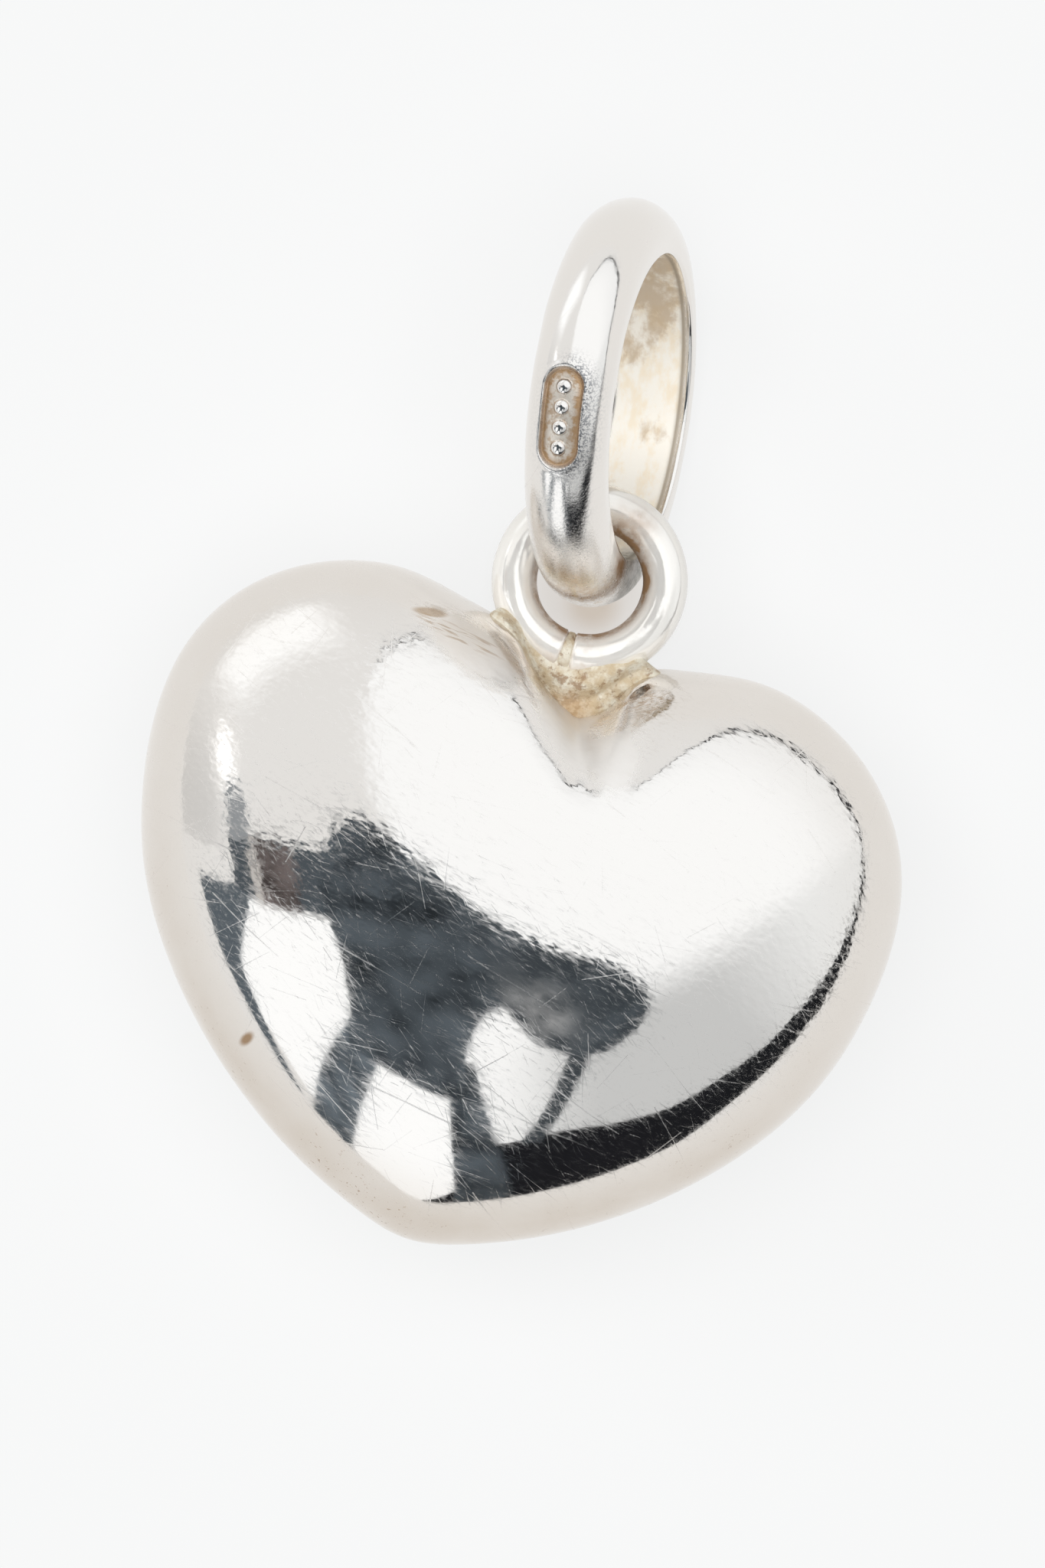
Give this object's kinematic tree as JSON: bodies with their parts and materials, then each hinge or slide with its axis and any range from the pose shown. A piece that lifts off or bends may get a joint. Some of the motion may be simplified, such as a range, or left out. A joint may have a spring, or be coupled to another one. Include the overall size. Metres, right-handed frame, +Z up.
{
  "type": "heart charm",
  "caption": "Puffed hollow heart charm with a soldered jump ring in its cleft and a closed D-section bail through it.",
  "frame": {"origin": "bottom centre of the whole charm's box as it lies on a surface", "axes": "+Y along the heart from its tip to the bail, +X to the heart's right, +Z up from the surface it lies on"},
  "size_m": [0.0166, 0.0228, 0.0086],
  "materials": {
    "heart_silver": "polished sterling silver with light scratches, brown tarnish round the solder",
    "bail_silver": "polished sterling silver outside, dull brown tarnish on the flat inside"
  },
  "bodies": {
    "root": {"heart": "heart_silver", "bail": "bail_silver"}
  },
  "joints": []
}
